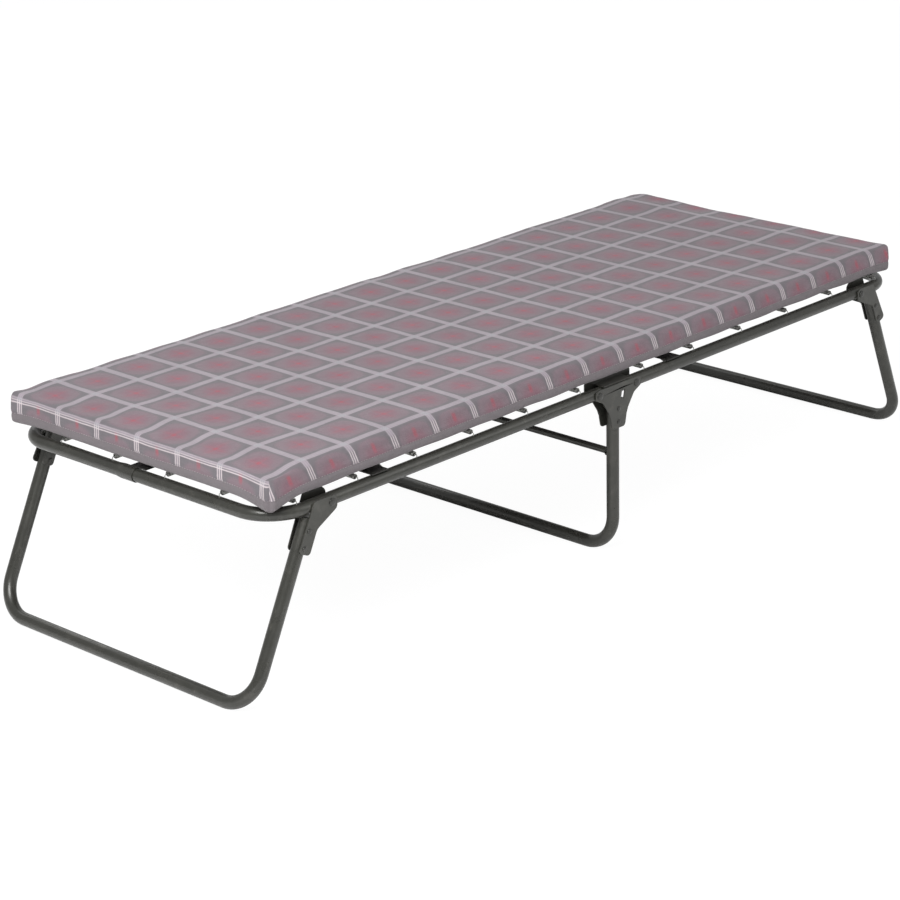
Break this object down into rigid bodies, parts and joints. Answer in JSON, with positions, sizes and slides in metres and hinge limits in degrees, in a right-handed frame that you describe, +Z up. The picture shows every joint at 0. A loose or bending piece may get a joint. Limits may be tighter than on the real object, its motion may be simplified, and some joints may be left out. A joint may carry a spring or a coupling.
{
  "type": "rollaway bed",
  "caption": "Folding rollaway bed: plaid foam mattress on hinged tube half frames with a sprung wire deck, a centre leg and splayed folding end legs.",
  "frame": {"origin": "on the floor under the middle of the bed", "axes": "+X along the bed from head to foot, +Y across it, +Z up"},
  "size_m": [1.886, 0.6932, 0.409],
  "materials": {
    "painted_tube": "satin dark grey paint",
    "painted_plate": "satin dark grey paint",
    "painted_fasteners": "satin dark grey paint",
    "zinc_wire": "bright zinc plated wire",
    "plaid_cloth": "woven plaid cover over foam"
  },
  "bodies": {
    "centre_stand": {"centre_leg": "painted_tube", "centre_crossbar": "painted_tube", "centre_plate_near_outer": "painted_plate", "centre_plate_near_inner": "painted_plate", "centre_plate_far_outer": "painted_plate", "centre_plate_far_inner": "painted_plate", "centre_rivet_near_upper": "painted_fasteners", "centre_rivet_near_lower": "painted_fasteners", "centre_rivet_far_upper": "painted_fasteners", "centre_rivet_far_lower": "painted_fasteners", "middle_mattress": "plaid_cloth"},
    "head_half": {"head_rail_near": "painted_tube", "head_rail_far": "painted_tube", "head_fold_pin_near": "painted_fasteners", "head_fold_pin_far": "painted_fasteners", "head_rail_end_pin_near": "painted_fasteners", "head_rail_end_pin_far": "painted_fasteners", "head_deck": "zinc_wire", "head_brace_strap": "painted_plate", "head_mattress": "plaid_cloth"},
    "head_leg": {"head_leg_tube": "painted_tube", "head_leg_plate_near_outer": "painted_plate", "head_leg_plate_near_inner": "painted_plate", "head_leg_plate_far_outer": "painted_plate", "head_leg_plate_far_inner": "painted_plate", "head_leg_pin_near": "painted_fasteners", "head_leg_pin_far": "painted_fasteners", "head_leg_rivet_near_upper": "painted_fasteners", "head_leg_rivet_near_lower": "painted_fasteners", "head_leg_rivet_far_upper": "painted_fasteners", "head_leg_rivet_far_lower": "painted_fasteners"},
    "foot_half": {"foot_rail_near": "painted_tube", "foot_rail_far": "painted_tube", "foot_fold_pin_near": "painted_fasteners", "foot_fold_pin_far": "painted_fasteners", "foot_rail_end_pin_near": "painted_fasteners", "foot_rail_end_pin_far": "painted_fasteners", "foot_deck": "zinc_wire", "foot_brace_strap": "painted_plate", "foot_mattress": "plaid_cloth"},
    "foot_leg": {"foot_leg_tube": "painted_tube", "foot_leg_plate_near_outer": "painted_plate", "foot_leg_plate_near_inner": "painted_plate", "foot_leg_plate_far_outer": "painted_plate", "foot_leg_plate_far_inner": "painted_plate", "foot_leg_pin_near": "painted_fasteners", "foot_leg_pin_far": "painted_fasteners", "foot_leg_rivet_near_upper": "painted_fasteners", "foot_leg_rivet_near_lower": "painted_fasteners", "foot_leg_rivet_far_upper": "painted_fasteners", "foot_leg_rivet_far_lower": "painted_fasteners"}
  },
  "joints": [
    {"name": "head_fold", "type": "hinge", "parent": "centre_stand", "child": "head_half", "pos_m": [-0.052, 0, 0.331], "axis": [0, 1, 0], "range_deg": [0, 75], "deforming": ["middle_mattress"]},
    {"name": "foot_fold", "type": "hinge", "parent": "centre_stand", "child": "foot_half", "pos_m": [0.052, 0, 0.331], "axis": [0, -1, 0], "range_deg": [0, 75], "deforming": ["middle_mattress"]},
    {"name": "head_leg_fold", "type": "hinge", "parent": "head_half", "child": "head_leg", "pos_m": [-0.74, 0, 0.331], "axis": [0, -1, 0], "range_deg": [0, 115]},
    {"name": "foot_leg_fold", "type": "hinge", "parent": "foot_half", "child": "foot_leg", "pos_m": [0.765, 0, 0.331], "axis": [0, 1, 0], "range_deg": [0, 111]}
  ]
}
